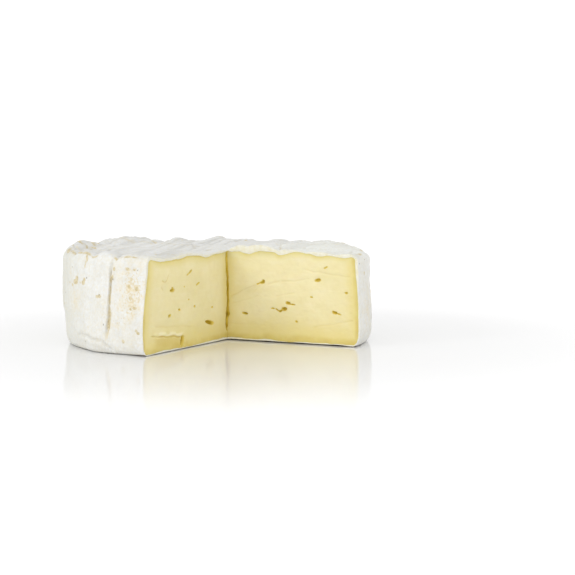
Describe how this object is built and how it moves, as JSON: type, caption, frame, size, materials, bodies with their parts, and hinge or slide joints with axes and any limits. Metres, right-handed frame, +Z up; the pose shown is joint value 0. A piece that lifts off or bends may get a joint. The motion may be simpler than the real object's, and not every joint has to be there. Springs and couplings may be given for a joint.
{
  "type": "cut camembert wheel",
  "caption": "Small round soft-ripened cheese with a ridged bloomy rind, with a quarter cut out to show the pale paste inside.",
  "frame": {"origin": "on the wheel's axis, at the flat underside that it stands on", "axes": "+Z up along the wheel's axis, +X across the ridges of the top, +Y along them; the missing quarter lies towards +X and -Y"},
  "size_m": [0.1101, 0.1105, 0.0351],
  "materials": {
    "rind": "powdery white mould rind, faintly mottled with tan, matt",
    "paste": "smooth, moist, pale yellow cut cheese, darker yellow under the rind, soft satin"
  },
  "bodies": {
    "root": {"cheese_wheel": "rind"}
  },
  "joints": []
}
